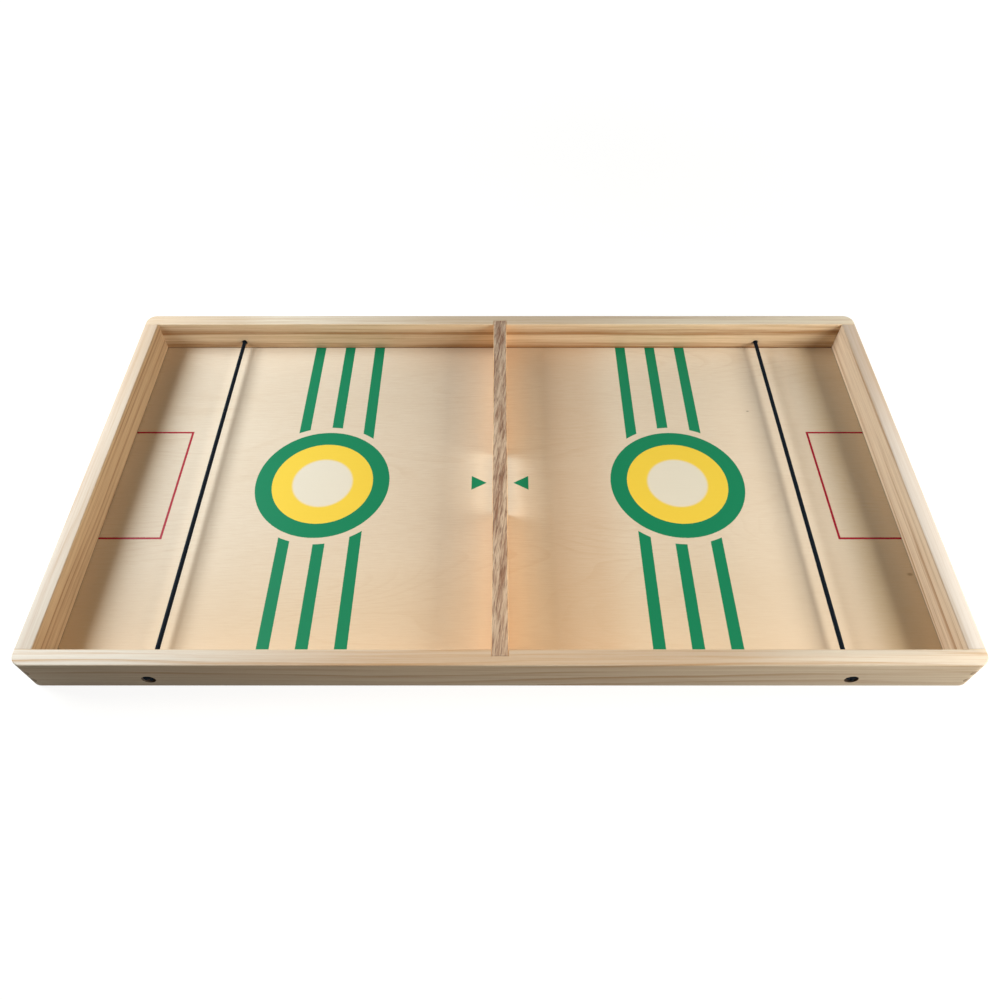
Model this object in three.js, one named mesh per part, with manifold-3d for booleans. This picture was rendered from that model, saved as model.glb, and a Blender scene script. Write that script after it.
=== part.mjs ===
// Sling puck game: a shallow pine tray with a board let into its underside, a divider with a
// low gate across its middle, and two elastic cords knotted through the long rails.
// Millimetres, +Z up. The origin is on the table under the middle of the tray, X runs along
// the long rails, and the player's ends are at -X and +X.

import * as THREE from 'three';
import { mergeVertices } from 'three/addons/utils/BufferGeometryUtils.js';
import Module from 'manifold-3d';

const wasm = await Module();
wasm.setup();

// Driving dimensions of the tray
const tray = {
  length: 560,
  width: 302,
  height: 27.5,
  endRail: 10.5, // thickness of the two short rails
  longRail: 10.5, // thickness of the two long rails
  cornerRadius: 7.5, // upright outer corners, rounded through the long rails' ends
  edgeRadius: 0.8, // sanded arrises, inside and outside
};

// The thin board lies in a rebate under all four rails
const board = {
  thickness: 3,
  lap: 5.5, // how far it reaches under each rail
  edgeGap: 0.3,
};

// The divider stands on the board, with its ends let into the long rails
const divider = {
  thickness: 10,
  housing: 4.5, // depth of the housings in the long rails
  sideGap: 0.15,
  endGap: 0.2,
  edgeRadius: 0.5,
};

const gate = {
  width: 54,
  height: 14,
  cornerRadius: 2.5,
};

const cord = {
  diameter: 2.8,
  fromEndRail: 63.5, // from its axis to the short rail's inner face, room for a hand to pull
  aboveBoard: 6, // axis above the playing surface, at half the height of a puck
  holeGap: 0.8, // round the cord, in its hole through the rail
};

// The knot sits in a round recess in the outer face of the long rail
const recess = {
  diameter: 8.1,
  depth: 3.8, // the knot comes out flush with the rail
};

// An overhand knot pulled tight: the strand winds round a ring while it circles the hole
const knot = {
  strand: 1.6, // the elastic is squeezed thinner in the knot
  strandGap: 0.35,
  seatGap: 0.15,
  leadIn: 4, // how far under the recess the cord starts to leave the axis of its hole
};
const knotLoops = 2.35;
const knotTurnsPerLoop = 2 / 3;

// Two dowels through the long rail into the end of each short rail
const dowel = {
  diameter: 5,
  length: 24,
  gap: 0.1,
  endChamfer: 0.6,
};
const dowelHeightShares = [0.2, 0.58]; // of the wall above the board

// Panel pins hold the board from below
const pin = {
  shank: 1.4,
  head: 2.6,
  headThickness: 0.7,
  length: 12,
  point: 1.6,
  gap: 0.15,
};
const longPinShares = [0.25, 0.7]; // of the way from the divider to the cord
const endPinShares = [-0.7, 0, 0.7]; // of half the playing width

const glueLine = 0.1;
const overrun = 5; // how far a cutter reaches past the face that it cuts

const roundSides = 20;
const pinSides = 10;
const cordSides = 8;
const cornerSteps = 8;
const edgeSteps = 3;
const knotSteps = 40;
const leadSteps = 6;

// Places worked out from the driving dimensions
const halfLength = tray.length / 2;
const halfWidth = tray.width / 2;
const innerX = halfLength - tray.endRail;
const innerY = halfWidth - tray.longRail;
const rebateX = innerX + board.lap;
const rebateY = innerY + board.lap;
const floorZ = board.thickness;
const cordX = innerX - cord.fromEndRail;
const cordZ = floorZ + cord.aboveBoard;
const recessFloorY = halfWidth - recess.depth;

const colour = {
  pine: 0xe3cba6,
  board: 0xe9d3b3,
  divider: 0xb09275,
  cord: 0x1b242c,
  dowel: 0xd2b48c,
  steel: 0x9a9a98,
};

const material = (color, roughness, metalness = 0) =>
  new THREE.MeshStandardMaterial({ color, roughness, metalness });

// Closed geometry to solid and back

function solidOf(geometry) {
  const bare = geometry.clone();
  bare.deleteAttribute('normal');
  bare.deleteAttribute('uv');
  const merged = mergeVertices(bare);
  const corners = merged.index.array;
  const kept = [];
  for (let i = 0; i < corners.length; i += 3) {
    const [a, b, c] = [corners[i], corners[i + 1], corners[i + 2]];
    if (a !== b && b !== c && c !== a) kept.push(a, b, c);
  }
  return new wasm.Manifold(new wasm.Mesh({
    numProp: 3,
    vertProperties: merged.attributes.position.array,
    triVerts: new Uint32Array(kept),
  }));
}

function geometryOf(solid) {
  const mesh = solid.getMesh();
  const indexed = new THREE.BufferGeometry();
  indexed.setAttribute('position', new THREE.BufferAttribute(mesh.vertProperties, 3));
  indexed.setIndex(new THREE.BufferAttribute(mesh.triVerts, 1));
  const faceted = indexed.toNonIndexed();
  faceted.computeVertexNormals();
  return faceted;
}

function block(low, high) {
  const size = new THREE.Vector3().subVectors(high, low);
  const middle = new THREE.Vector3().addVectors(low, high).multiplyScalar(1 / 2);
  const geometry = new THREE.BoxGeometry(size.x, size.y, size.z);
  return solidOf(geometry.translate(middle.x, middle.y, middle.z));
}

const at = (x, y, z) => new THREE.Vector3(x, y, z);

// A turned solid: its profile gives [radius, height] from one end on the axis to the other,
// and its axis runs from the given point along the given direction
function turned(profile, sides, from, direction) {
  const points = profile.map(([radius, height]) => new THREE.Vector2(radius, height));
  const geometry = new THREE.LatheGeometry(points, sides);
  const up = new THREE.Quaternion().setFromUnitVectors(at(0, 1, 0), direction);
  return solidOf(geometry.applyQuaternion(up).translate(from.x, from.y, from.z));
}

function bore(diameter, length, from, direction) {
  const radius = diameter / 2;
  return turned([[0, 0], [radius, 0], [radius, length], [0, length]], roundSides, from, direction);
}

// The frame is shaped as one ring with rounded corners and sanded arrises, and the joints then
// part it into four rails, so that the sanding runs on from rail to rail
function frameRing() {
  const radius = tray.cornerRadius;
  const outline = new THREE.Shape();
  outline.moveTo(-halfLength + radius, -halfWidth);
  outline.absarc(halfLength - radius, -halfWidth + radius, radius, -Math.PI / 2, 0);
  outline.absarc(halfLength - radius, halfWidth - radius, radius, 0, Math.PI / 2);
  outline.absarc(-halfLength + radius, halfWidth - radius, radius, Math.PI / 2, Math.PI);
  outline.absarc(-halfLength + radius, -halfWidth + radius, radius, Math.PI, 3 * Math.PI / 2);
  const inside = new THREE.Path();
  inside.moveTo(-innerX, -innerY);
  inside.lineTo(-innerX, innerY);
  inside.lineTo(innerX, innerY);
  inside.lineTo(innerX, -innerY);
  inside.closePath();
  outline.holes.push(inside);
  return solidOf(easedExtrusion(outline, tray.height, tray.edgeRadius));
}

// An outline carried along +Z from 0 to its height, with its arrises rounded
function easedExtrusion(outline, height, edge) {
  const geometry = new THREE.ExtrudeGeometry(outline, {
    depth: height - 2 * edge,
    bevelEnabled: true,
    bevelThickness: edge,
    bevelSize: edge,
    bevelOffset: -edge,
    bevelSegments: edgeSteps,
    curveSegments: cornerSteps,
  });
  return geometry.translate(0, 0, edge);
}

// Cutters

function rebate() {
  return block(at(-rebateX, -rebateY, -overrun), at(rebateX, rebateY, floorZ));
}

function housing() {
  const halfSlot = divider.thickness / 2 + divider.sideGap;
  const reach = innerY + divider.housing;
  return block(at(-halfSlot, -reach, floorZ - overrun), at(halfSlot, reach, tray.height + overrun));
}

// The hole through one long rail and the recess for its knot, outward being -1 or +1 along Y
function cordBore(x, outward) {
  const hole = bore(cord.diameter + 2 * cord.holeGap, tray.longRail + 2 * overrun,
    at(x, outward * (innerY - overrun), cordZ), at(0, outward, 0));
  const pocket = bore(recess.diameter, recess.depth + overrun,
    at(x, outward * recessFloorY, cordZ), at(0, outward, 0));
  return hole.add(pocket);
}

// Dowels, pins and the holes that take them

function dowelSolid(x, z, outward, grow, chamfer) {
  const radius = dowel.diameter / 2 + grow;
  const length = dowel.length + grow;
  const profile = [
    [0, 0],
    [radius - chamfer, 0],
    [radius, chamfer],
    [radius, length + overrun],
    [0, length + overrun],
  ];
  return turned(profile, roundSides, at(x, outward * (halfWidth - length), z), at(0, outward, 0));
}

function pinSolid(x, y, grow) {
  const shank = pin.shank / 2 + grow;
  const head = pin.head / 2 + grow;
  const sunk = grow > 0 ? overrun : 0; // a hole's mouth runs out below the board
  const profile = [
    [0, -sunk],
    [head, -sunk],
    [head, pin.headThickness + grow],
    [shank, pin.headThickness + grow],
    [shank, pin.length - pin.point + grow],
    [0, pin.length + grow],
  ];
  return turned(profile, pinSides, at(x, y, 0), at(0, 0, 1));
}

const pinPlaces = [];
const cordToEnd = (cordX + innerX) / 2;
const lapMiddle = board.lap / 2;
for (const side of [-1, 1]) {
  for (const end of [-1, 1]) {
    const alongs = [...longPinShares.map((share) => share * cordX), cordToEnd];
    for (const along of alongs) {
      pinPlaces.push({ x: end * along, y: side * (innerY + lapMiddle) });
    }
  }
  for (const share of endPinShares) {
    pinPlaces.push({ x: side * (innerX + lapMiddle), y: share * innerY });
  }
  pinPlaces.push({ x: 0, y: side * (gate.width / 2 + innerY) / 2 });
}
const pinHoles = pinPlaces.map(({ x, y }) => pinSolid(x, y, pin.gap));

const dowelPlaces = [];
for (const outward of [-1, 1]) {
  for (const end of [-1, 1]) {
    dowelHeightShares.forEach((share, level) => {
      const z = floorZ + share * (tray.height - floorZ);
      dowelPlaces.push({ x: end * (innerX + tray.endRail / 2), z, outward, end, level });
    });
  }
}
const dowelHoles = dowelPlaces.map(({ x, z, outward }) => dowelSolid(x, z, outward, dowel.gap, 0));

const cutAll = (solid, cutters) => cutters.reduce((rest, cutter) => rest.subtract(cutter), solid);

// The rails

const ring = frameRing();

function longRail(outward) {
  const inner = outward * innerY;
  const outer = outward * (halfWidth + overrun);
  const stock = block(at(-halfLength - overrun, Math.min(inner, outer), -overrun),
    at(halfLength + overrun, Math.max(inner, outer), tray.height + overrun));
  const cordBores = [-cordX, cordX].map((x) => cordBore(x, outward));
  const cutters = [rebate(), housing(), ...cordBores, ...dowelHoles, ...pinHoles];
  return cutAll(ring.intersect(stock), cutters);
}

function endRail(end) {
  const inner = end * innerX;
  const outer = end * (halfLength + overrun);
  const half = innerY - glueLine;
  const stock = block(at(Math.min(inner, outer), -half, -overrun),
    at(Math.max(inner, outer), half, tray.height + overrun));
  return cutAll(ring.intersect(stock), [rebate(), ...dowelHoles, ...pinHoles]);
}

function playingBoard() {
  const sheet = block(
    at(-rebateX + board.edgeGap, -rebateY + board.edgeGap, 0),
    at(rebateX - board.edgeGap, rebateY - board.edgeGap, floorZ - glueLine));
  return cutAll(sheet, pinHoles);
}

// The divider's outline, drawn from one end to the other with the gate cut into its lower edge
function dividerBar() {
  const halfSpan = innerY + divider.housing - divider.endGap;
  const halfGate = gate.width / 2;
  const foot = floorZ + glueLine;
  const lintel = floorZ + gate.height;
  const radius = gate.cornerRadius;
  const outline = new THREE.Shape();
  outline.moveTo(-halfSpan, foot);
  outline.lineTo(-halfGate, foot);
  outline.lineTo(-halfGate, lintel - radius);
  outline.absarc(-halfGate + radius, lintel - radius, radius, Math.PI, Math.PI / 2, true);
  outline.absarc(halfGate - radius, lintel - radius, radius, Math.PI / 2, 0, true);
  outline.lineTo(halfGate, foot);
  outline.lineTo(halfSpan, foot);
  outline.lineTo(halfSpan, tray.height);
  outline.lineTo(-halfSpan, tray.height);
  outline.closePath();
  const across = new THREE.Matrix4().makeBasis(at(0, 1, 0), at(0, 0, 1), at(1, 0, 0));
  const bar = easedExtrusion(outline, divider.thickness, divider.edgeRadius);
  bar.applyMatrix4(across).translate(-divider.thickness / 2, 0, 0);
  return cutAll(solidOf(bar), pinHoles);
}

// The cord: straight between the rails, with a knot at each end

// Points of the cord from mid-span outward to its cut end, as {across, up, out, radius}. The
// knot's strand stands at angle phase/turns round the hole; its distance from the axis is
// ring + coil * cos(phase) and its height over the recess floor is middle + coil * sin(phase)
function knottedEnd() {
  const pitch = knot.strand + knot.strandGap;
  const coil = pitch / 2;
  const inner = pitch / Math.sqrt(3);
  const ringRadius = inner + coil;
  const middle = recessFloorY + knot.seatGap + knot.strand / 2 + coil;
  const start = recessFloorY - knot.leadIn;
  const startAngle = Math.PI * knotTurnsPerLoop;
  const points = [];
  for (let i = 0; i <= leadSteps; i += 1) {
    const share = i / (leadSteps + 1);
    const ease = share * share * (3 - 2 * share);
    points.push({
      across: inner * ease * Math.cos(startAngle),
      up: inner * ease * Math.sin(startAngle),
      out: start + share * (middle - start),
      radius: (cord.diameter + ease * (knot.strand - cord.diameter)) / 2,
    });
  }
  for (let i = 0; i <= knotSteps; i += 1) {
    const phase = Math.PI - 2 * Math.PI * knotLoops * i / knotSteps;
    const angle = phase * knotTurnsPerLoop;
    const fromAxis = ringRadius + coil * Math.cos(phase);
    points.push({
      across: fromAxis * Math.cos(angle),
      up: fromAxis * Math.sin(angle),
      out: middle + coil * Math.sin(phase),
      radius: knot.strand / 2,
    });
  }
  return points;
}

// The least gap between two stretches of the cord that aren't neighbours along it
function leastGap(points) {
  let least = Infinity;
  points.forEach((a, i) => {
    let along = 0;
    for (let j = i + 1; j < points.length; j += 1) {
      along += points[j].place.distanceTo(points[j - 1].place);
      const apart = a.place.distanceTo(points[j].place);
      if (along > Math.PI * cord.diameter / 2) least = Math.min(least, apart - a.radius - points[j].radius);
    }
  });
  return least;
}

// A tube whose section keeps its direction from ring to ring, closed flat at both ends
function tube(points, sides) {
  const positions = [];
  const indices = [];
  const side = at(1, 0, 0);
  const tangent = new THREE.Vector3();
  const spoke = new THREE.Vector3();
  points.forEach(({ place, radius }, i) => {
    const before = points[Math.max(i - 1, 0)].place;
    const after = points[Math.min(i + 1, points.length - 1)].place;
    tangent.subVectors(after, before).normalize();
    side.addScaledVector(tangent, -side.dot(tangent)).normalize();
    for (let k = 0; k < sides; k += 1) {
      spoke.copy(side).applyAxisAngle(tangent, 2 * Math.PI * k / sides);
      positions.push(...spoke.multiplyScalar(radius).add(place).toArray());
    }
  });
  for (let i = 0; i < points.length - 1; i += 1) {
    for (let k = 0; k < sides; k += 1) {
      const next = (k + 1) % sides;
      const [a, b] = [i * sides + k, i * sides + next];
      const [c, d] = [a + sides, b + sides];
      indices.push(a, b, d, a, d, c);
    }
  }
  const last = (points.length - 1) * sides;
  for (let k = 1; k < sides - 1; k += 1) {
    indices.push(0, k + 1, k);
    indices.push(last, last + k, last + k + 1);
  }
  const geometry = new THREE.BufferGeometry();
  geometry.setAttribute('position', new THREE.Float32BufferAttribute(positions, 3));
  geometry.setIndex(indices);
  return geometry;
}

function cordTube(x) {
  const half = knottedEnd();
  const end = (outward) => half.map(({ across, up, out, radius }) => (
    { place: at(x - outward * across, outward * out, cordZ + up), radius }));
  const front = end(-1);
  console.log(`least gap of the cord to itself: ${leastGap(front).toFixed(3)} mm`);
  return solidOf(tube([...front.reverse(), ...end(1)], cordSides));
}

// Assembly

const game = new THREE.Group();

function addPiece(name, solid, finish) {
  const mesh = new THREE.Mesh(geometryOf(solid), finish);
  mesh.name = name;
  game.add(mesh);
}

const pine = material(colour.pine, 0.6);
addPiece('front_rail', longRail(-1), pine);
addPiece('back_rail', longRail(1), pine);
addPiece('left_rail', endRail(-1), pine);
addPiece('right_rail', endRail(1), pine);
addPiece('playing_board', playingBoard(), material(colour.board, 0.5));
addPiece('centre_divider', dividerBar(), material(colour.divider, 0.65));

const elastic = material(colour.cord, 0.7);
addPiece('left_sling_cord', cordTube(-cordX), elastic);
addPiece('right_sling_cord', cordTube(cordX), elastic);

const beech = material(colour.dowel, 0.6);
for (const { x, z, outward, end, level } of dowelPlaces) {
  const name = [
    outward < 0 ? 'front' : 'back',
    end < 0 ? 'left' : 'right',
    level === 0 ? 'lower' : 'upper',
    'dowel',
  ].join('_');
  // sanded flush with the frame's rounded corners
  addPiece(name, ring.intersect(dowelSolid(x, z, outward, 0, dowel.endChamfer)), beech);
}

const steel = material(colour.steel, 0.4, 1);
pinPlaces.forEach(({ x, y }, i) => {
  addPiece(`board_pin_${String(i + 1).padStart(2, '0')}`, pinSolid(x, y, 0), steel);
});

export default game;
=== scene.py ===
# %% [markdown]
# # Sling puck game
# A shallow pine tray, a plywood board printed with play marks, a darker divider with a low gate,
# and two elastic cords knotted through the long rails. The imported model holds every piece at its
# real size. This script gives each piece the finish of the real one and makes the two cords anew,
# because a cord must be round and braided.

# %% Load the imported model
from collections import namedtuple

import bmesh
import bpy
import numpy as np
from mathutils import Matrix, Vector


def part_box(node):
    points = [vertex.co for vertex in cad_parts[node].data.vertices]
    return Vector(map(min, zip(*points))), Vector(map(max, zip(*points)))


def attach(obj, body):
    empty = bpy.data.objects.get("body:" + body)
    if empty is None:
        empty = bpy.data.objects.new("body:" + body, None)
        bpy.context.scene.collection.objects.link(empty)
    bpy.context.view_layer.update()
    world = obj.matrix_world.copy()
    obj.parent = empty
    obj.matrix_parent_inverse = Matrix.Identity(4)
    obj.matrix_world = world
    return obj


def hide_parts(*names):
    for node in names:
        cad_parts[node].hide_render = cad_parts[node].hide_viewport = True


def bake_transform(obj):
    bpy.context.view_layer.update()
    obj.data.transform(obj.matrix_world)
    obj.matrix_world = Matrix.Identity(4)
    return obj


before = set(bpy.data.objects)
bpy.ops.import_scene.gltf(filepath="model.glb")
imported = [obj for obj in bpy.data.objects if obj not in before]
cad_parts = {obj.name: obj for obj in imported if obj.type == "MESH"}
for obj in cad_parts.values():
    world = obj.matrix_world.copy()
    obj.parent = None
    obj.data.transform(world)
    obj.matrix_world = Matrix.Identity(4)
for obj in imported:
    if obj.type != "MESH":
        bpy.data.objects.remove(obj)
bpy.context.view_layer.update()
MM = 0.001

front_low, front_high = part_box("front_rail")
RAIL_TOP = front_high.z
INNER_Y = -front_high.y
OUTER_Y = -front_low.y
INNER_X = -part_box("left_rail")[1].x
BOARD_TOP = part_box("playing_board")[1].z
print("rail top", RAIL_TOP, "inner size", 2 * INNER_X, 2 * INNER_Y)

# %% [markdown]
# ## Camera
# The real camera hung over the front edge of the tray. Its place comes from a fit of the tray's
# corners: a plain centred lens, with no shift, that looks down at 53 degrees. A lens is given to
# Blender by its focal length in pixels, turned into millimetres on a 36 mm sensor. The places
# are in metres, as everything in the scene is.

# %% Place the camera
PICTURE_WIDTH = 1000
FOCAL_PIXELS = 795.6
SENSOR = 36.0
CAMERA_BACK = 0.3481
CAMERA_OVER_RAILS = 0.4172
CAMERA_DOWN = 52.94
NEAREST_SEEN = 0.01

camera_data = bpy.data.cameras.new("camera")
camera_data.sensor_width = SENSOR
camera_data.lens = FOCAL_PIXELS / PICTURE_WIDTH * SENSOR
camera_data.clip_start = NEAREST_SEEN
camera = bpy.data.objects.new("camera", camera_data)
camera.location = (0, -CAMERA_BACK, RAIL_TOP + CAMERA_OVER_RAILS)
camera.rotation_euler = (np.radians(90 - CAMERA_DOWN), 0, 0)
bpy.context.scene.collection.objects.link(camera)
bpy.context.scene.camera = camera
bpy.context.scene.view_settings.view_transform = "Standard"
print("lens", round(camera_data.lens, 2), "mm")

# %% [markdown]
# ## Shader maths as Python
# A wood is a formula in space: rings round a far-off heart, streaks along the grain, a slow drift
# of tone. Written node by node it can't be read. So one small class wraps a socket, and a sum of
# two wrapped sockets adds a Math node. Every other node comes from one method, `add`.

# %% A socket that can be used in sums
class Wire:
    """An output socket. Sums, differences and products of wires add Math nodes."""

    def __init__(self, net, socket):
        self.net, self.socket = net, socket

    def __add__(self, other):
        return self.net.maths("ADD", self, other)

    def __sub__(self, other):
        return self.net.maths("SUBTRACT", self, other)

    def __rsub__(self, other):
        return self.net.maths("SUBTRACT", other, self)

    def __mul__(self, other):
        return self.net.maths("MULTIPLY", self, other)

    __radd__ = __add__
    __rmul__ = __mul__


# %% Sums of wires that come up again and again
NOISE_MIDDLE = 0.5


def between(share, low, high):
    """Low at share 0, high at share 1."""
    return low + share * (high - low)


def total(*weighted):
    """Sum of wires, each given as (wire, weight)."""
    return sum(wire * weight for wire, weight in weighted)


def swing(*weighted):
    """Sum of noises that swings round 0, each given as (noise, weight)."""
    return total(*((noise - NOISE_MIDDLE, weight) for noise, weight in weighted))


# %% [markdown]
# ## Figures
# Most of what makes a wood look like wood is noise, pulled out along the grain. A figure says
# what one such noise is like: how many bumps a millimetre holds along each of three directions,
# where in the noise it starts, how fine and rough its detail is and how far it is bent. Each wood
# below is a handful of figures and the weights with which they are added.

# %% A figure, and a tree of nodes being built
Figure = namedtuple("Figure", "rates start detail roughness distortion",
                    defaults=((0, 0, 0), 2.0, 0.5, 0.0))
MIX_SHARE, MIX_FIRST, MIX_SECOND, MIX_RESULT = 0, 6, 7, 2


class Net:
    """A tree of nodes, and the methods that add to it. Owner is a new material or world."""

    def __init__(self, owner):
        self.owner = owner
        owner.use_nodes = True
        self.tree = owner.node_tree
        self.shader = self.tree.nodes.get("Principled BSDF")

    def add(self, kind, settings=None, inputs=None, output=0):
        """Adds a node. Settings are set first, then each input gets a value or a wire."""
        node = self.tree.nodes.new(kind)
        for key, value in (settings or {}).items():
            setattr(node, key, value)
        for key, value in (inputs or {}).items():
            self.feed(node.inputs[key], value)
        return Wire(self, node.outputs[output])

    def feed(self, socket, value):
        """Links a wire to an input, or sets the input's value."""
        if isinstance(value, Wire):
            self.tree.links.new(value.socket, socket)
        else:
            socket.default_value = value

    def maths(self, operation, *values):
        """Adds a Math node."""
        return self.add("ShaderNodeMath", {"operation": operation}, dict(enumerate(values)))

    def distance(self, first, second):
        """Distance from zero of a point that is given by two wires."""
        return self.maths("SQRT", first * first + second * second)

    def place(self):
        """The point on the piece, as three wires in millimetres along X, Y and Z."""
        point = self.add("ShaderNodeTexCoord", output="Object")
        parts = [self.add("ShaderNodeSeparateXYZ", None, {"Vector": point}, output=axis)
                 for axis in "XYZ"]
        return [part * (1 / MM) for part in parts]

    def noise(self, figure, x, y, z=0.0, seed=0.0):
        """Smooth random value round 0.5 at a point in millimetres. The seed moves the start."""
        starts = (figure.start[0] + seed, figure.start[1], figure.start[2])
        parts = [value * rate + start if start else value * rate
                 for value, rate, start in zip((x, y, z), figure.rates, starts)]
        point = self.add("ShaderNodeCombineXYZ", None, dict(zip("XYZ", parts)))
        return self.add("ShaderNodeTexNoise", {"noise_dimensions": "3D"},
                        {"Vector": point, "Scale": 1.0, "Detail": figure.detail,
                         "Roughness": figure.roughness, "Distortion": figure.distortion})

    def step(self, value, low, high):
        """0 below low, 1 above high and smooth between. A high under low turns it round."""
        return self.add("ShaderNodeMapRange", {"interpolation_type": "SMOOTHSTEP"},
                        {"Value": value, "From Min": low, "From Max": high})

    def stretch(self, value, start, full, fade, end):
        """1 from full to fade, 0 before start and after end, smooth between."""
        return self.step(value, start, full) * self.step(value, end, fade)

    def mix(self, share, first, second):
        """First colour at share 0, second at share 1. The node has sockets for every kind of
        data under the same few names, so the ones for colours are named by number."""
        return self.add("ShaderNodeMix", {"data_type": "RGBA"},
                        {MIX_SHARE: share, MIX_FIRST: first, MIX_SECOND: second}, MIX_RESULT)

    def bump(self, height, distance):
        """Height in units of distance, which is a real length in metres."""
        return self.add("ShaderNodeBump", None, {"Height": height, "Distance": distance})

    def seen(self):
        """1 for the rays that show the background: camera, mirror and glass rays."""
        rays = [self.add("ShaderNodeLightPath", output=name)
                for name in ("Is Camera Ray", "Is Glossy Ray", "Is Transmission Ray")]
        return self.maths("MAXIMUM", self.maths("MAXIMUM", rays[0], rays[1]), rays[2])

    def finish(self, surface, roughness, normal=None, **fixed):
        """Feeds the shader. What is the same all over goes on the shader's own sockets."""
        self.feed(self.shader.inputs["Base Color"], surface)
        self.feed(self.shader.inputs["Roughness"], roughness)
        if normal is not None:
            self.feed(self.shader.inputs["Normal"], normal)
        for key, value in fixed.items():
            self.shader.inputs[key.replace("_", " ")].default_value = value
        return self.owner


# %% A colour
def colour(red, green, blue):
    """A colour written as it looks on screen, 0 to 255, as the linear colour that shaders use.
    The formula is the usual screen curve: a straight foot, then a power of 2.4."""
    shown = np.array([red, green, blue]) / 255
    linear = np.where(shown <= 0.04045, shown / 12.92, ((shown + 0.055) / 1.055) ** 2.4)
    return (*linear.tolist(), 1.0)


# %% [markdown]
# ## Pine
# A pine rail is sawn from a trunk far wider than itself, so its rings cross it as nearly straight
# bands. Each ring is pale early wood that darkens slowly to a thin line of late wood, and then
# starts again at once. That is a saw-tooth: the fraction of distance from the heart over ring
# width. The distance gets a slow wander along the rail, so that the lines drift, and fine streaks
# run along the grain. The top gets a few stretches of brown, and each face has its own colours:
# paler tops and browner inner faces, which are painted light and shade. The same formula, cut
# across, gives end grain with its arcs.

# %% Figures, sizes in millimetres and colours of pine
# A pair says where a mask starts and where it is full, and four numbers say where it starts, is
# full, fades and ends. The same goes for the other woods.
PINE_DRIFT = Figure((0.0035, 0.006, 0.006), detail=1)
PINE_RIPPLE = Figure((0.015, 0.04, 0.04))
PINE_STRENGTH = Figure((1.7, 0.004, 0), detail=1)
PINE_COARSE = Figure((0.006, 0.45, 0.45))
PINE_MEDIUM = Figure((0.02, 1.6, 1.6), detail=4, roughness=0.6)
PINE_FIBRE = Figure((0.15, 6.0, 6.0), roughness=0.6)
RIPPLE_SIZE = 1.6
LATE_WOOD = (0.35, 0.88, 0.9, 1.0)
FADED_STRENGTHS = (0.35, 0.7)
PINE_TONES = (-0.3, 0.8)
PINE_RELIEF = 0.08
PINE_ROUGHNESS = (0.5, 0.7)
EDGE_START = 0.2
EDGE_END = 0.9
# Height over the board and reach from the inner face of the painted shadow at the rails' foot.
FOOT_SHADOW_HEIGHT = 0.9
FOOT_SHADOW_DEPTH = 0.4
CORD_PLACE = 206.0
CORD_HEIGHT = 9.0
RECESS_DEPTH = 3.8
RECESS_RADIUS = 4.05
RECESS_WALL = (0.15, 0.05)
RECESS_FLOOR = 0.2
TOP_BROWN = colour(176, 134, 88)
# Colour of the painted shadow along the foot of the rails' inner faces.
FOOT_SHADOW_BROWN = colour(96, 66, 38)
# Colour of the painted shade on the walls of the cords' recesses.
RECESS_SHADE_BROWN = colour(70, 46, 28)
DARK_SHARE = 0.8


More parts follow.
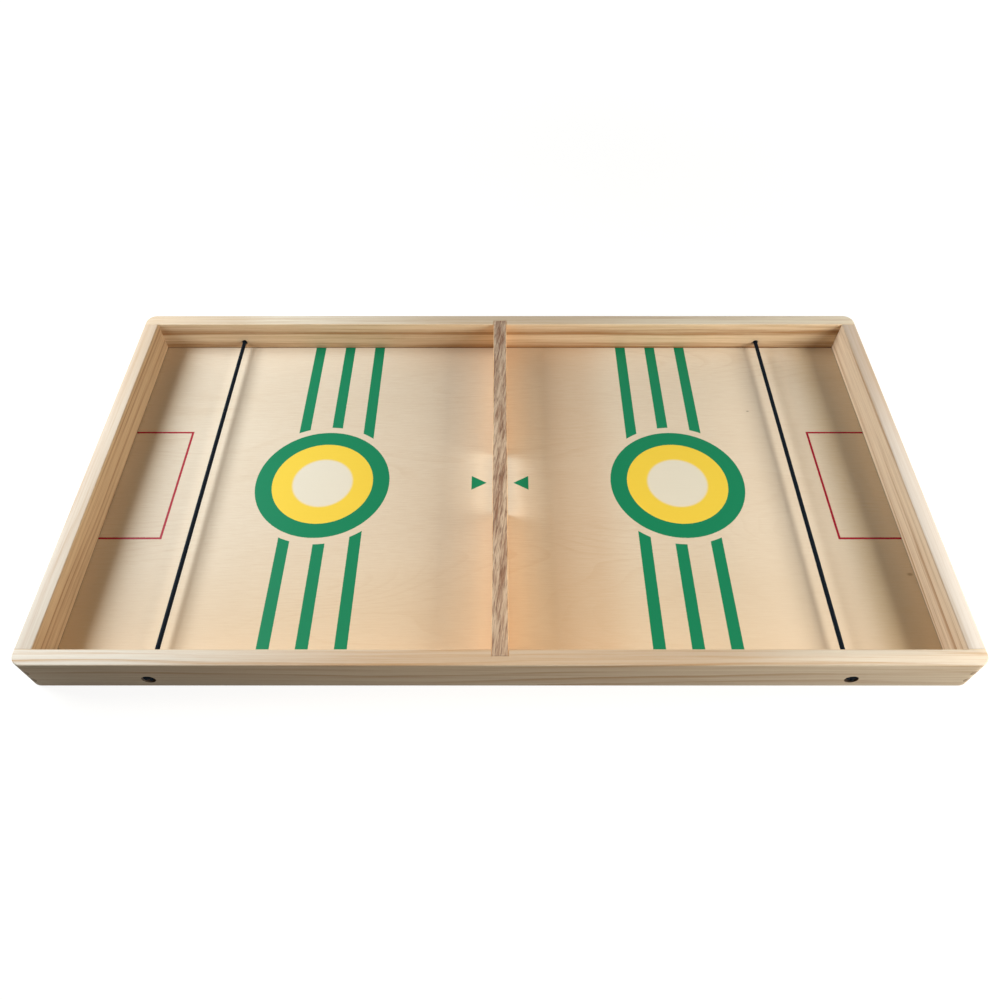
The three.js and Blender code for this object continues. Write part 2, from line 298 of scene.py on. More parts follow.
# %% Pine, cut along X or along Y
def pine(name, grain, lit_and_shaded_woods, heart, ring, seed, wander=16.0, late_share=0.55, fading=1.0,
         browns=()):
    """Pine whose grain runs along "x" or "y". Woods are the colours of the top, the inner face
    and the outer face, each as (light, dark); they differ by face as painted light and shade. Heart
    is the trunk's centre as (across, up), ring is a ring's width and wander is how far the rings
    drift. Late_share is how much the late wood shows, and fading is how much of it fades out in
    places. Browns are the stretches where the top is browner: start, full, fade, end and amount."""
    net = Net(bpy.data.materials.new(name))
    x, y, z = net.place()
    along, across = (x, y) if grain == "x" else (y, x)
    drift = net.noise(PINE_DRIFT, along, across, z, seed) - NOISE_MIDDLE
    ripple = net.noise(PINE_RIPPLE, along, across, z, seed) - NOISE_MIDDLE
    from_heart = net.distance(across - heart[0], z - heart[1])
    rings = (from_heart + drift * wander + ripple * RIPPLE_SIZE) * (1 / ring)
    late = net.stretch(net.maths("FRACT", rings), *LATE_WOOD)
    # A noise looked up by the ring's number makes some rings strong and lets others fade.
    strength = net.noise(PINE_STRENGTH, net.maths("FLOOR", rings), along, 0.0, seed)
    late = late * (net.step(strength, *FADED_STRENGTHS) * fading + 1 - fading)
    coarse, medium, fibre = [net.noise(figure, along, across, z, seed)
                             for figure in (PINE_COARSE, PINE_MEDIUM, PINE_FIBRE)]

    # Each face gets its own pair of colours as painted light and shade: paler tops, browner inner
    # faces.
    thickness = (OUTER_Y - INNER_Y) / MM
    half_inside = (INNER_Y if grain == "x" else INNER_X) / MM
    from_inside = net.maths("ABSOLUTE", across) - half_inside
    inner = net.step(from_inside, EDGE_END, EDGE_START)
    outer = net.step(from_inside, thickness - EDGE_END, thickness - EDGE_START)
    light, dark = [net.mix(outer, net.mix(inner, top, inside), outside)
                   for top, inside, outside in zip(*lit_and_shaded_woods)]
    tone = late * late_share + swing((coarse, 1.0), (medium, 1.1), (fibre, 0.4))
    body = net.mix(net.step(tone, *PINE_TONES), light, dark)
    for *stretch, amount in browns:
        brown = net.stretch(along, *stretch) * (1 - outer) * (1 - inner) * amount
        body = net.mix(brown, body, TOP_BROWN)

    # A thin painted shadow darkens the foot of each inner face, where the rail meets the board.
    over_board = z - BOARD_TOP / MM
    foot_shadow = net.step(from_inside, FOOT_SHADOW_DEPTH, FOOT_SHADOW_DEPTH / 4)
    foot_shadow = foot_shadow * net.step(over_board, FOOT_SHADOW_HEIGHT, FOOT_SHADOW_HEIGHT / 3)
    body = net.mix(foot_shadow * DARK_SHARE, body, FOOT_SHADOW_BROWN)
    # The long rails get painted shade on the walls of the cords' recesses.
    if grain == "x":
        from_axis = net.distance(net.maths("ABSOLUTE", x) - CORD_PLACE, z - CORD_HEIGHT)
        from_floor = from_inside - (thickness - RECESS_DEPTH)
        recess_shade = net.step(from_axis, RECESS_RADIUS + RECESS_WALL[0], RECESS_RADIUS + RECESS_WALL[1])
        recess_shade = recess_shade * net.step(from_floor, -RECESS_FLOOR, 0.0)
        body = net.mix(recess_shade * DARK_SHARE, body, RECESS_SHADE_BROWN)
    height = total((medium, 0.4), (fibre, 0.6), (late, -0.3))
    return net.finish(body, between(fibre, *PINE_ROUGHNESS), net.bump(height, PINE_RELIEF * MM),
                      Specular_IOR_Level=0.25)


# %% The four rails' woods, with painted light and shade by face
FRONT_LIT_AND_SHADED_WOODS = ((colour(232, 216, 193), colour(202, 160, 116)),
               (colour(226, 198, 160), colour(178, 132, 90)),
               (colour(220, 198, 169), colour(184, 146, 108)))
BACK_LIT_AND_SHADED_WOODS = ((colour(234, 216, 188), colour(192, 150, 108)),
              (colour(228, 200, 162), colour(166, 120, 76)),
              (colour(232, 212, 184), colour(196, 154, 112)))
LEFT_LIT_AND_SHADED_WOODS = ((colour(217, 198, 174), colour(196, 164, 134)),
              (colour(203, 168, 127), colour(149, 108, 72)),
              (colour(216, 196, 166), colour(186, 148, 108)))
RIGHT_LIT_AND_SHADED_WOODS = ((colour(221, 205, 189), colour(205, 182, 158)),
               (colour(242, 214, 178), colour(188, 144, 104)),
               (colour(216, 196, 166), colour(186, 148, 108)))
FRONT_BROWNS = ((-230, -30, 110, 230, 0.5), (180, 240, 500, 600, 0.22))
BACK_BROWNS = ((-330, -310, -215, -170, 0.4), (-150, -20, 30, 170, 0.35))
LEFT_BROWNS = ((-110, -30, 400, 500, 0.16), (20, 120, 400, 500, 0.26))
RIGHT_BROWNS = ((0, 100, 400, 500, 0.38),)

rail_woods = {
    "front_rail": pine("pine_front", "x", FRONT_LIT_AND_SHADED_WOODS, heart=(-400, -110), ring=3.6, seed=3.0,
                       browns=FRONT_BROWNS),
    "back_rail": pine("pine_back", "x", BACK_LIT_AND_SHADED_WOODS, heart=(150, 333.1), ring=13.8, seed=11.0,
                      wander=5.0, late_share=0.8, fading=0.45, browns=BACK_BROWNS),
    "left_rail": pine("pine_left", "y", LEFT_LIT_AND_SHADED_WOODS, heart=(-200, -100), ring=3.4, seed=23.0,
                      browns=LEFT_BROWNS),
    "right_rail": pine("pine_right", "y", RIGHT_LIT_AND_SHADED_WOODS, heart=(180, -150), ring=5.0, seed=37.0,
                       browns=RIGHT_BROWNS),
}
print("pine for", ", ".join(rail_woods))

# %% [markdown]
# ## Printed board
# The board is thin plywood with a pale, fine face. Its figure is made of level lines: a smooth
# field, stretched along the grain, is cut into thin slices, and each slice's edge is a faint line.
# That gives the long waves and nested arches of peeled veneer. A few broad patches are tinted:
# painted shade beside both end rails, right of the divider and before the back rail, painted
# light over the right half, and a warmer strip towards the front. The play marks are printed in
# flat ink, so they are masks worked out from the place: rings by distance from a centre, stripes
# and lines by distance along X and Y. Both halves are alike, so the masks use the size of x.

# %% Sizes of the printed marks, in millimetres
PRINT_SHIFT = 0.8
RING_PLACE = 125.5
GREEN_RADIUS = 47.2
YELLOW_RADIUS = 35.5
CREAM_RADIUS = 21.1
CLEAR_RADIUS = 52.3
STRIPE_WIDTH = 7.9
STRIPE_PITCH = 23.85
STRIPE_MIDDLE = 121.2
GOAL_PLACE = 228.0
GOAL_HALF = 47.5
GOAL_LINE = 1.6
ARROW_TIP = 9.4
ARROW_BASE = 20.1
ARROW_HALF = 6.2
INK_EDGE = 0.12
CREAM_EDGE = 1.2
INK_RAGGED = Figure((0.9, 0.9, 0))
RAGGED_SIZE = 0.35


# %% Masks of the printed marks
def print_masks(net, x, y):
    """Masks of the green, yellow, cream and red inks on the board's top."""
    side = net.maths("ABSOLUTE", x)
    up = y - PRINT_SHIFT
    rise = net.maths("ABSOLUTE", up)
    ragged = (net.noise(INK_RAGGED, x, y) - NOISE_MIDDLE) * RAGGED_SIZE

    def inside(value, limit, edge=INK_EDGE):
        return net.step(value + ragged, limit + edge, limit - edge)

    radius = net.distance(side - RING_PLACE, up)
    stripes = sum(inside(net.maths("ABSOLUTE", side - (STRIPE_MIDDLE + place * STRIPE_PITCH)),
                         STRIPE_WIDTH / 2) for place in (-1, 0, 1))
    stripes = stripes * (1 - inside(radius, CLEAR_RADIUS))
    disc = inside(radius, GREEN_RADIUS)
    yellow = inside(radius, YELLOW_RADIUS)
    cream = inside(radius, CREAM_RADIUS, CREAM_EDGE)
    slope = ARROW_HALF / (ARROW_BASE - ARROW_TIP)
    arrow = inside(rise - (side - ARROW_TIP) * slope, 0.0) * inside(side, ARROW_BASE)
    green = net.maths("MAXIMUM", net.maths("MAXIMUM", stripes, arrow), disc)
    across = inside(net.maths("ABSOLUTE", side - GOAL_PLACE), GOAL_LINE / 2)
    along = inside(net.maths("ABSOLUTE", rise - GOAL_HALF), GOAL_LINE / 2)
    reach = inside(rise, GOAL_HALF + GOAL_LINE / 2)
    beyond = 1 - inside(side, GOAL_PLACE - GOAL_LINE / 2)
    red = net.maths("MAXIMUM", across * reach, along * beyond)
    return green, yellow, cream, red


# %% Figures, sizes in millimetres and colours of the veneer
VENEER_FIELD = Figure((0.0028, 0.014, 0), (4.0, 0, 0), detail=1.5, distortion=0.2)
VENEER_FAINT = Figure((0.006, 0.02, 0), (0, 9.0, 0), detail=1)
VENEER_STREAK = Figure((0.03, 0.9, 0), detail=4, roughness=0.7)
VENEER_THREAD = Figure((0.08, 1.8, 0), (0, 0, 2.0), detail=3, roughness=0.7)
VENEER_FIBRE = Figure((0.25, 6.0, 0), detail=3, roughness=0.65)
VENEER_FLECK = Figure((0.5, 5.0, 0), (0, 0, 3.0), detail=1)
VENEER_DRIFT = Figure((0.007, 0.02, 0), (0, 0, 5.0))
SLICES = 30.0
SLICES_ACROSS = 0.05
SLICE_EDGE = (0.55, 0.95, 0.96, 1.0)
SLICE_SHARE = 0.2
FAINT_STRENGTHS = (0.35, 0.75)
FLECK_LEVELS = (0.70, 0.78)
FLECK_SHARE = 0.28
VENEER_TONES = (-0.7, 1.1)
VENEER_RELIEF = 0.03
VENEER_ROUGHNESS = (0.46, 0.6)
INK_SMOOTHER = 0.08
SPECKS = ((188.0, 70.0, 1.0), (266.5, -75.0, 1.7))
SPECK_NARROWING = 0.6
SPECK_CORE_SHARE = 0.2
SPECK_SHARE = 0.5
INK_DEPTH = 0.1
PORES_FILLED_SHARE = 0.6
VENEER_PALE = colour(232, 213, 186)
VENEER_DEEP = colour(206, 174, 138)
FLECK_BROWN = colour(160, 120, 82)
SPECK_BROWN = colour(120, 84, 52)
GREEN_INK = (colour(8, 132, 86), colour(4, 108, 68))
YELLOW_INK = (colour(248, 212, 80), colour(236, 192, 50))
CREAM_INK = (colour(236, 224, 200), colour(222, 206, 180))
RED_INK = (colour(174, 10, 38), colour(152, 8, 30))

# %% Tinted patches, mostly painted shade and painted light: start, full, fade and end along X, then along Y, share and colour
ALL_OVER = (-400, -300, 300, 400)
BOARD_TINTS_AND_PAINTED_LIGHT = (
    # A warmer strip towards the front.
    (ALL_OVER, (-400, -300, -130, -30), 0.4, colour(226, 190, 144)),
    # Painted shade in the middle before the back rail.
    ((-110, -40, 40, 110), (85, 138, 300, 400), 0.3, colour(196, 156, 112)),
    # Painted shade beside the left rail.
    ((-400, -300, -262, -236), ALL_OVER, 0.36, colour(198, 160, 104)),
    # Painted shade beside the right rail.
    ((226, 250, 300, 400), ALL_OVER, 0.4, colour(198, 158, 96)),
    # Painted shade right of the divider.
    ((26, 44, 62, 90), ALL_OVER, 0.24, colour(190, 138, 86)),
    # Painted light over the right half.
    ((130, 185, 222, 240), (-400, -300, 60, 135), 0.3, colour(250, 222, 190)),
)


# %% The board's material
def printed_veneer():
    net = Net(bpy.data.materials.new("printed_veneer"))
    x, y, z = net.place()
    streak, thread, fibre, drift = [net.noise(figure, x, y) for figure in (
        VENEER_STREAK, VENEER_THREAD, VENEER_FIBRE, VENEER_DRIFT)]
    slices = net.noise(VENEER_FIELD, x, y) * SLICES + y * SLICES_ACROSS
    line = net.stretch(net.maths("FRACT", slices), *SLICE_EDGE)
    line = line * net.step(net.noise(VENEER_FAINT, x, y), *FAINT_STRENGTHS)
    fleck = net.step(net.noise(VENEER_FLECK, x, y), *FLECK_LEVELS)
    tone = line * SLICE_SHARE + swing((streak, 0.5), (drift, 0.35), (fibre, 0.35), (thread, 1.1))
    surface = net.mix(net.step(tone, *VENEER_TONES), VENEER_PALE, VENEER_DEEP)
    surface = net.mix(fleck * FLECK_SHARE, surface, FLECK_BROWN)
    # Lays the tinted patches: painted shade, painted light and a warmer front strip.
    for x_stretch, y_stretch, share, tint in BOARD_TINTS_AND_PAINTED_LIGHT:
        patch = net.stretch(x, *x_stretch) * net.stretch(y, *y_stretch)
        surface = net.mix(patch * share, surface, tint)
    for place_x, place_y, size in SPECKS:
        near = net.distance((x - place_x) * SPECK_NARROWING, y - place_y)
        speck = net.step(near, size, size * SPECK_CORE_SHARE)
        surface = net.mix(speck * SPECK_SHARE, surface, SPECK_BROWN)

    green, yellow, cream, red = print_masks(net, x, y)
    top = net.step(z - BOARD_TOP / MM, -2 * INK_DEPTH, -INK_DEPTH)
    ink_tone = swing((streak, 0.25), (fibre, 0.2)) + NOISE_MIDDLE
    inks = ((green, GREEN_INK), (yellow, YELLOW_INK), (cream, CREAM_INK), (red, RED_INK))
    for mask, (pale, deep) in inks:
        surface = net.mix(mask * top, surface, net.mix(ink_tone, pale, deep))
    inked = net.maths("MAXIMUM", green, red) * top

    height = total((fibre, 0.5), (streak, 0.5), (fleck, -0.6)) * (1 - inked * PORES_FILLED_SHARE)
    roughness = between(fibre, *VENEER_ROUGHNESS) - inked * INK_SMOOTHER
    return net.finish(surface, roughness, net.bump(height, VENEER_RELIEF * MM),
                      Specular_IOR_Level=0.22)


board_material = printed_veneer()
print("board", board_material.name, "with", len(board_material.node_tree.nodes), "nodes")

# %% [markdown]
# ## Divider
# The divider is another wood: greyish brown, with open pores that show as short dark strokes.
# The grain runs a few degrees off the bar's length, so the strokes slant across its top. Its two
# sides are warmer than its top, and their glow shows on the board beside them.

# %% Figures, sizes in millimetres and colours of the divider's wood
DIVIDER_SWAY = Figure((0.01, 0, 0), (0, 2.0, 0), detail=1)
DIVIDER_BAND = Figure((0.3, 0.03, 0.2))
DIVIDER_STREAK = Figure((1.3, 0.08, 1.3), detail=4, roughness=0.65)
DIVIDER_PORE = Figure((1.5, 0.13, 1.5))
DIVIDER_FIBRE = Figure((9.0, 0.5, 9.0))
DIVIDER_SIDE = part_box("centre_divider")[1].x / MM
GRAIN_LEAN = 0.12
SWAY_SIZE = 1.05
PORE_LEVELS = (0.56, 0.66)
PORE_SHARE = 0.6
TONE_SHIFT = 0.42
FLANK_EDGE = (0.5, 0.1)
FLANK_SHARE = 0.9
DIVIDER_ROUGHNESS = (0.58, 0.7)
DIVIDER_RELIEF = 0.12
DIVIDER_TOP = (colour(208, 180, 150), colour(134, 94, 68))
DIVIDER_FLANK = (colour(252, 206, 150), colour(228, 172, 116))
PORE_BROWN = colour(106, 72, 50)


# %% The divider's material
def open_pored_wood():
    net = Net(bpy.data.materials.new("open_pored_wood"))
    x, y, z = net.place()
    across = x - y * GRAIN_LEAN + net.noise(DIVIDER_SWAY, y, 0.0) * SWAY_SIZE
    band, streak, pores, fibre = [net.noise(figure, across, y, z) for figure in (
        DIVIDER_BAND, DIVIDER_STREAK, DIVIDER_PORE, DIVIDER_FIBRE)]
    pore = net.step(pores, *PORE_LEVELS)
    tone = net.step(swing((band, 1.5), (streak, 2.2)) + TONE_SHIFT, 0.0, 1.0)
    body = net.mix(tone, *DIVIDER_TOP)
    body = net.mix(pore * PORE_SHARE, body, PORE_BROWN)
    flank = net.step(net.maths("ABSOLUTE", x) - DIVIDER_SIDE, -FLANK_EDGE[0], -FLANK_EDGE[1])
    body = net.mix(flank * FLANK_SHARE, body, net.mix(tone, *DIVIDER_FLANK))
    height = total((fibre, 0.4), (streak, 0.3), (pore, -1.0))
    return net.finish(body, between(fibre, *DIVIDER_ROUGHNESS),
                      net.bump(height, DIVIDER_RELIEF * MM), Specular_IOR_Level=0.3)


divider_material = open_pored_wood()
print("the divider's sides stand", round(DIVIDER_SIDE, 2), "mm from its middle")

# %% [markdown]
# ## Dowels and pins
# A dowel shows only its end grain: small dark pores in a warm ground, with no streaks. The pins
# are plain steel wire, a little dull.

# %% End grain
DOWEL_PORE = Figure((4.5, 0.1, 4.5), detail=1)
DOWEL_DRIFT = Figure((0.6, 0.1, 0.6))
DOWEL_PORE_LEVELS = (0.58, 0.7)
DOWEL_PORE_SHARE = 0.4
DOWEL_ROUGHNESS = 0.6
DOWEL_RELIEF = 0.05
DOWEL_GROUND = (colour(182, 155, 125), colour(154, 127, 97))
DOWEL_BROWN = colour(106, 80, 57)


def end_grain():
    net = Net(bpy.data.materials.new("dowel_end_grain"))
    x, y, z = net.place()
    pores = net.step(net.noise(DOWEL_PORE, x, y, z), *DOWEL_PORE_LEVELS)
    ground = net.mix(net.noise(DOWEL_DRIFT, x, y, z), *DOWEL_GROUND)
    ground = net.mix(pores * DOWEL_PORE_SHARE, ground, DOWEL_BROWN)
    return net.finish(ground, DOWEL_ROUGHNESS, net.bump(1 - pores, DOWEL_RELIEF * MM),
                      Specular_IOR_Level=0.3)


# %% Steel
PIN_DULL = Figure((1.5, 1.5, 0.8), detail=3)
PIN_ROUGHNESS = (0.28, 0.53)
PIN_RELIEF = 0.02
PIN_GREYS = (colour(176, 174, 170), colour(128, 125, 120))


def pin_steel():
    net = Net(bpy.data.materials.new("pin_steel"))
    dull = net.noise(PIN_DULL, *net.place())
    return net.finish(net.mix(dull, *PIN_GREYS), between(dull, *PIN_ROUGHNESS),
                      net.bump(dull, PIN_RELIEF * MM), Metallic=1.0)


# %% [markdown]
# ## Dressing the rigid pieces
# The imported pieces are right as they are, but they are made of loose flat triangles, so a rounded
# corner would show its facets. Each rail and the divider get a merged copy with smooth faces and
# sharp edges kept where the angle is large. Everything else keeps its own mesh.

# %% Merged, smooth copies
SHARP_ANGLE = np.radians(38)
MERGE_DISTANCE = 0.002 * MM


def smooth_copy(node, name):
    """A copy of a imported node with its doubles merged, smooth faces and sharp edges."""
    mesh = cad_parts[node].data.copy()
    work = bmesh.new()
    work.from_mesh(mesh)
    bmesh.ops.remove_doubles(work, verts=work.verts, dist=MERGE_DISTANCE)
    bmesh.ops.dissolve_degenerate(work, dist=MERGE_DISTANCE, edges=work.edges)
    for edge in work.edges:
        turn = edge.calc_face_angle(0.0) if edge.is_manifold else np.pi
        edge.smooth = bool(turn < SHARP_ANGLE)
    for face in work.faces:
        face.smooth = True
    work.to_mesh(mesh)
    work.free()
    piece = bpy.data.objects.new(name, mesh)
    bpy.context.scene.collection.objects.link(piece)
    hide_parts(node)
    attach(piece, "game_box")
    return piece


def dress(piece, material):
    """Gives a piece its one material."""
    piece.data.materials.clear()
    piece.data.materials.append(material)


for node, wood in rail_woods.items():
    dress(smooth_copy(node, node + "_wood"), wood)
dress(smooth_copy("centre_divider", "centre_divider_wood"), divider_material)

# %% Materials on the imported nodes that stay
dowel_material = end_grain()
steel_material = pin_steel()
for node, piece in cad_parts.items():
    if node == "playing_board":
        dress(piece, board_material)
    elif node.endswith("dowel"):
        dress(piece, dowel_material)
    elif node.startswith("board_pin"):
        dress(piece, steel_material)
print("packed nodes", len(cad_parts), "of which", len(rail_woods) + 1, "have a smooth copy")

# %% [markdown]
# ## Sling cords
# Each cord is braided elastic, pulled straight between the long rails and knotted in a recess of
# each. It is made as two halves that meet at mid-span. A half is a tube: rings set along a path,
# each ring turned as little as possible from the last. Its skin is a braid: two families of
# strands wind round it in opposite ways and pass over and under each other like a chequer.

# %% Sizes of the cord and its knot, in millimetres
CORD_DIAMETER = 2.8
STRAND = 2.05
KNOT_PITCH = 1.75
KNOT_SEAT = 0.05
KNOT_LEAD = 4.0
KNOT_LOOPS = 2.35
KNOT_TURNS_PER_LOOP = 2 / 3
BRAID_STRANDS = 8
BRAID_RISE = 0.11
BRAID_LENGTH = 9.0
RING_POINTS = 48
RING_STEP = 0.2
SPAN_POINTS = 60
LEAD_POINTS = 24
KNOT_POINTS = 240
LAST_RING_SHARE = 0.02


# %% The cord's path
def half_cord_path():
    """Points and radii of half a cord from mid-span out to its cut end, as (across, up, out).

    In the knot the strand winds round a ring: at phase p its distance from the hole's axis is
    ring + coil * cos(p), its height is middle + coil * sin(p), and its angle round the axis is
    two thirds of p, which makes an overhand knot."""
    floor = OUTER_Y / MM - RECESS_DEPTH
    coil = KNOT_PITCH / 2
    inner = KNOT_PITCH / np.sqrt(3)
    middle = floor + KNOT_SEAT + STRAND / 2 + coil
    start = floor - KNOT_LEAD
    first_angle = np.pi * KNOT_TURNS_PER_LOOP

    straight = np.linspace(0, start, SPAN_POINTS)[:-1]
    span = np.stack([0 * straight, 0 * straight, straight], axis=1)
    share = np.linspace(0, 1, LEAD_POINTS)[:-1]
    ease = share * share * (3 - 2 * share)
    lead = np.stack([inner * ease * np.cos(first_angle), inner * ease * np.sin(first_angle),
                     start + share * (middle - start)], axis=1)
    phase = np.pi - np.linspace(0, 2 * np.pi * KNOT_LOOPS, KNOT_POINTS)
    angle = phase * KNOT_TURNS_PER_LOOP
    away = inner + coil + coil * np.cos(phase)
    knot = np.stack([away * np.cos(angle), away * np.sin(angle), middle + coil * np.sin(phase)],
                    axis=1)
    points = np.concatenate([span, lead, knot])
    radius = np.concatenate([np.full(len(span), CORD_DIAMETER / 2),
                             (CORD_DIAMETER + ease * (STRAND - CORD_DIAMETER)) / 2,
                             np.full(len(knot), STRAND / 2)])
    return points, radius


def resample(points, radius, step):
    """The same path with its points a step apart, and each point's length along it."""
    lengths = np.concatenate([[0], np.cumsum(np.linalg.norm(np.diff(points, axis=0), axis=1))])
    places = np.linspace(0, lengths[-1], int(lengths[-1] / step) + 1)
    smooth = np.stack([np.interp(places, lengths, points[:, i]) for i in range(3)], axis=1)
    return smooth, np.interp(places, lengths, radius), places


def ring_frames(points):
    """Two unit vectors across the path at each point, carried along it without twist."""
    tangent = np.gradient(points, axis=0)
    tangent /= np.linalg.norm(tangent, axis=1, keepdims=True)
    side = np.empty_like(tangent)
    current = np.array([1.0, 0.0, 0.0])
    for i, along in enumerate(tangent):
        current = current - along * np.dot(current, along)
        current /= np.linalg.norm(current)
        side[i] = current
    return side, np.cross(tangent, side)


# %% The braided tube
def braid_height(around, along):
    """Height of the braid, 0 to 1. Two families of strands cross at right angles: a family's
    height is a row of round ridges, and a chequer says which family lies on top."""
    turns = around * BRAID_STRANDS
    travel = along / BRAID_LENGTH * BRAID_STRANDS
    one, two = turns + travel, turns - travel
    chequer = (np.floor(one) + np.floor(two)) % 2
    ridge_one = np.sqrt(np.abs(np.sin(np.pi * one)))
    ridge_two = np.sqrt(np.abs(np.sin(np.pi * two)))
    return np.where(chequer == 1, ridge_one, ridge_two)


def tube_surface():
    """Half a cord's skin as a grid of points, ring by ring, with its braid and the length along
    it. A point stands at centre + radius * (cos a * side + sin a * up), with the braid's height
    in the radius. The cut end is rounded over half a strand."""
    points, radius, along = resample(*half_cord_path(), RING_STEP)
    side, up = ring_frames(points)
    around = np.arange(RING_POINTS) / RING_POINTS
    braid = braid_height(around[None, :], along[:, None])
    to_end = np.clip((along[-1] - along) / (STRAND / 2), 0, 1)
    taper = np.sqrt(1 - (1 - to_end) ** 2)
    reach = radius[:, None] - BRAID_RISE + braid * BRAID_RISE
    reach = reach * np.maximum(taper, LAST_RING_SHARE)[:, None]
    turn = 2 * np.pi * around
    skin = (points[:, None, :]
            + reach[..., None] * (np.cos(turn)[None, :, None] * side[:, None, :]
                                  + np.sin(turn)[None, :, None] * up[:, None, :]))
    return skin, braid, along


def tube_faces(rings):
    """Four-sided faces of a tube, each ring closed on itself, and a face on each end."""
    ring, step = np.meshgrid(np.arange(rings - 1), np.arange(RING_POINTS), indexing="ij")
    following = (step + 1) % RING_POINTS
    corners = [ring * RING_POINTS + step, ring * RING_POINTS + following,
               (ring + 1) * RING_POINTS + following, (ring + 1) * RING_POINTS + step]
    faces = np.stack(corners, axis=-1).reshape(-1, 4).tolist()
    last = (rings - 1) * RING_POINTS
    faces.append(list(range(RING_POINTS))[::-1])
    faces.append(list(range(last, last + RING_POINTS)))
    return faces


# %% Half a cord
def half_cord(name, place, outward):
    """Half a cord from mid-span to the cut end of its knot, and its length. Outward is -1 to the
    front rail and 1 to the back one."""
    skin, braid, along = tube_surface()
    across, up, out = skin.reshape(-1, 3).T
    world = np.stack([place - outward * across, outward * out, CORD_HEIGHT + up], axis=1) * MM
    mesh = bpy.data.meshes.new(name)
    mesh.from_pydata(world.tolist(), [], tube_faces(len(skin)))
    mesh.polygons.foreach_set("use_smooth", np.ones(len(mesh.polygons), bool))
    height = mesh.attributes.new("braid", "FLOAT", "POINT")
    height.data.foreach_set("value", braid.ravel().astype(np.float32))
    work = bmesh.new()
    work.from_mesh(mesh)
    bmesh.ops.recalc_face_normals(work, faces=work.faces)
    work.to_mesh(mesh)
    work.free()
    piece = bpy.data.objects.new(name, mesh)
    bpy.context.scene.collection.objects.link(piece)
    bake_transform(piece)
    return piece, along[-1]


# %% The cord's material
COVER_FUZZ = Figure((6.0, 6.0, 6.0), detail=3)
COVER_HEIGHTS = (0.2, 0.9)
COVER_ROUGHNESS = (0.6, 0.8)
COVER_RELIEF = 0.03
COVER_BLACKS = (colour(2, 5, 8), colour(8, 17, 25))
FUZZ_GREY = colour(26, 40, 52)
FUZZ_LEAST = 0.02


def braided_cover():
    net = Net(bpy.data.materials.new("braided_cover"))
    braid = net.add("ShaderNodeAttribute", {"attribute_name": "braid"}, output="Fac")
    fuzz = net.noise(COVER_FUZZ, *net.place())
    shade = net.mix(net.step(braid, *COVER_HEIGHTS), *COVER_BLACKS)
    shade = net.mix(swing((fuzz, 0.4)) + FUZZ_LEAST, shade, FUZZ_GREY)
    return net.finish(shade, between(fuzz, *COVER_ROUGHNESS), net.bump(fuzz, COVER_RELIEF * MM),
                      Specular_IOR_Level=0.08)


# %% Both cords
CORDS = (("left_sling_cord", -CORD_PLACE, "left_cord"),
         ("right_sling_cord", CORD_PLACE, "right_cord"))
HALVES = (("front", -1), ("back", 1))

cover_material = braided_cover()
for name, place, body in CORDS:
    for half, outward in HALVES:
        piece, length = half_cord(f"{name}_{half}_half", place, outward)
        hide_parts(name)
        dress(piece, cover_material)
print("each cord is", round(2 * length, 1), "mm long with its knots")

# %% [markdown]
# ## Floor and light
# The tray was lit by two soft boxes, one beyond each end, low enough for the short rails to shade
# the board beside them. A low box in front lights the front rail's face, and a faint warm one
# hangs over the board. A large pale floor closes the scene and keeps the tray's soft shadow. The
# floor and the world are bright for the rays that show the background. For all other rays the
# floor doesn't glow and the world is nearly black, so the white background hardly lights the tray.

# %% Floor
FLOOR_SIZE = 6.0
FLOOR_GREY = colour(122, 116, 106)
FLOOR_ROUGHNESS = 0.9
WHITE = colour(255, 255, 255)
FLOOR_GLOW = (0.9, 1.05)
GLOW_RISE = (350.0, 1000.0)


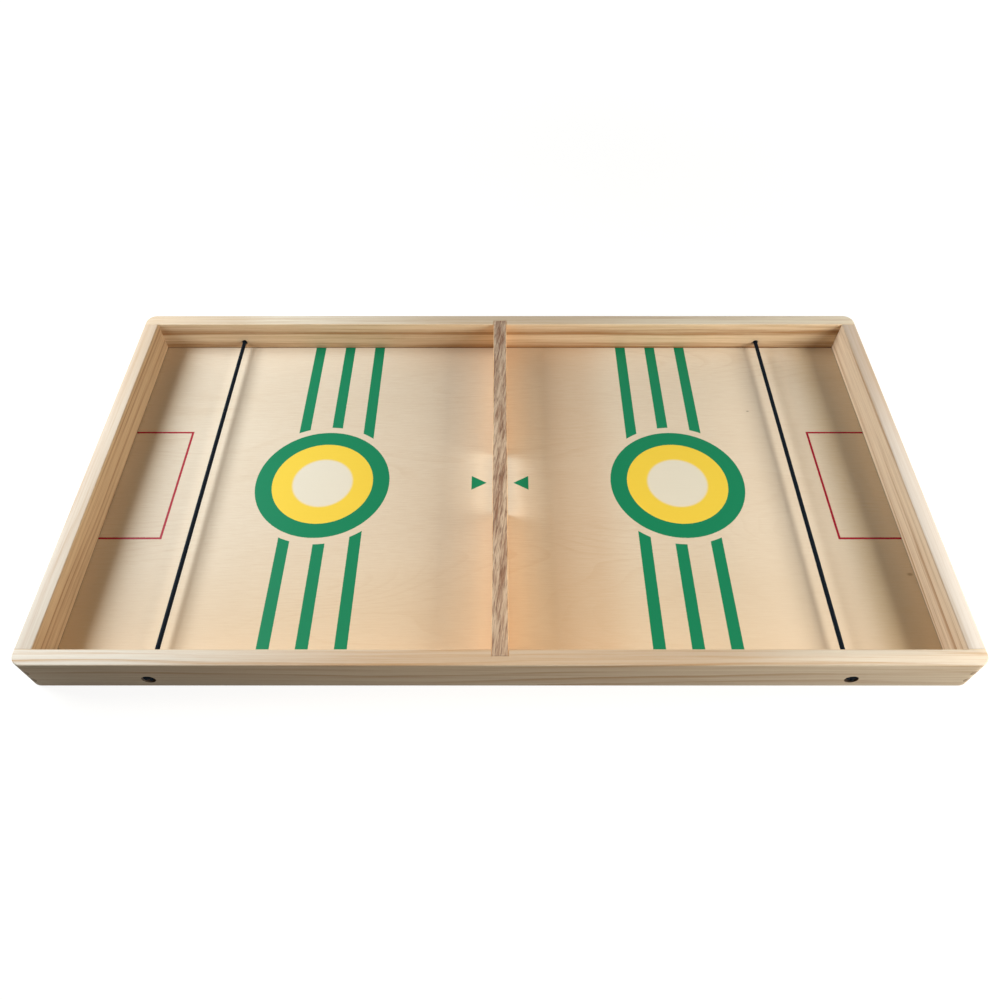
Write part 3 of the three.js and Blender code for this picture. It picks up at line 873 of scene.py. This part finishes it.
def white_floor():
    """Plain grey that glows for the rays that show the background, more so far from the tray,
    where the lamps don't reach."""
    net = Net(bpy.data.materials.new("white_floor"))
    net.finish(FLOOR_GREY, FLOOR_ROUGHNESS, Specular_IOR_Level=0.0)
    x, y, _ = net.place()
    strength = between(net.step(net.distance(x, y), *GLOW_RISE), *FLOOR_GLOW)
    glow = net.add("ShaderNodeEmission", None, {"Color": WHITE, "Strength": strength})
    plain = Wire(net, net.shader.outputs[0])
    both = net.add("ShaderNodeAddShader", None, {0: plain, 1: glow})
    shown = net.add("ShaderNodeMixShader", None, {0: net.seen(), 1: plain, 2: both})
    output = net.tree.nodes["Material Output"]
    net.feed(output.inputs["Surface"], shown)
    return net.owner


bpy.ops.mesh.primitive_plane_add(size=FLOOR_SIZE, location=(0, 0, 0))
floor = bpy.context.object
floor.name = "floor"
floor.data.materials.append(white_floor())


# %% Lamps, with places and sizes in metres and powers in watts
def soft_box(name, place, target, size, power, tint, spread=np.pi):
    """A rectangular area lamp that looks from its place at its target. Spread is the full angle
    of its beam."""
    data = bpy.data.lights.new(name, "AREA")
    data.shape = "RECTANGLE"
    data.size, data.size_y = size
    data.energy = power
    data.color = tint
    data.spread = spread
    lamp = bpy.data.objects.new(name, data)
    lamp.location = place
    lamp.rotation_euler = (Vector(target) - Vector(place)).to_track_quat("-Z", "Y").to_euler()
    bpy.context.scene.collection.objects.link(lamp)


COOL = (0.88, 1.0, 1.13)
PLAIN = (0.96, 1.0, 1.0)
WARM = (1.3, 1.0, 0.65)
MIDDLE = (0, 0, 0)
soft_box("left_box", (-0.63, 0.13, 0.355), MIDDLE, size=(0.4, 0.32), power=5.95, tint=COOL)
soft_box("right_box", (0.66, -0.11, 0.3), MIDDLE, size=(0.4, 0.32), power=4.8, tint=PLAIN)
soft_box("low_front_box", (0.5, -0.55, 0.1), MIDDLE, size=(0.4, 0.16), power=1.5, tint=PLAIN)
soft_box("top_box", (-0.02, -0.13, 0.33), (-0.02, -0.13, 0), size=(0.2, 0.32), power=0.077,
         tint=WARM, spread=np.radians(86))

# %% World
SKY_LIGHT = 0.01

world = bpy.data.worlds.new("studio")
bpy.context.scene.world = world
sky = Net(world)
background = sky.tree.nodes["Background"]
background.inputs["Color"].default_value = WHITE
sky.feed(background.inputs["Strength"], between(sky.seen(), SKY_LIGHT, 1.0))
print("lamps", [lamp.name for lamp in bpy.data.lights])
